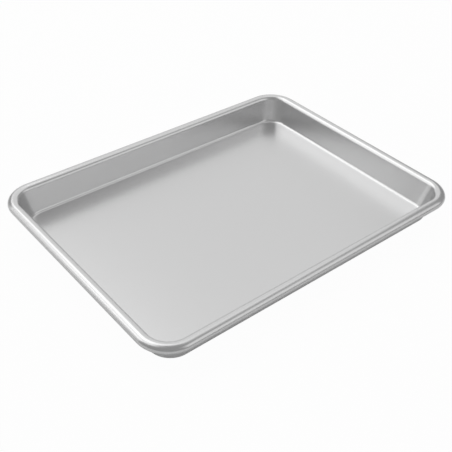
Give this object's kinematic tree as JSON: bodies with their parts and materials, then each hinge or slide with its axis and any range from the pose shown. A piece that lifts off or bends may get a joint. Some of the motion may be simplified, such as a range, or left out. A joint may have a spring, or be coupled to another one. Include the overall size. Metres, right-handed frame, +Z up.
{
  "type": "sheet pan",
  "caption": "Shallow rectangular baking sheet pan of pressed aluminium, with leaning walls, rounded corners and a rim rolled over a steel wire.",
  "frame": {"origin": "middle of the pan's underside, where it stands", "axes": "+X along the long sides, +Y along the short sides, +Z up out of the open top"},
  "size_m": [0.33, 0.248, 0.0275],
  "materials": {
    "satin_aluminium": "satin",
    "galvanised_wire": "dull galvanised"
  },
  "bodies": {
    "root": {"pan_sheet": "satin_aluminium", "rim_wire": "galvanised_wire"}
  },
  "joints": []
}
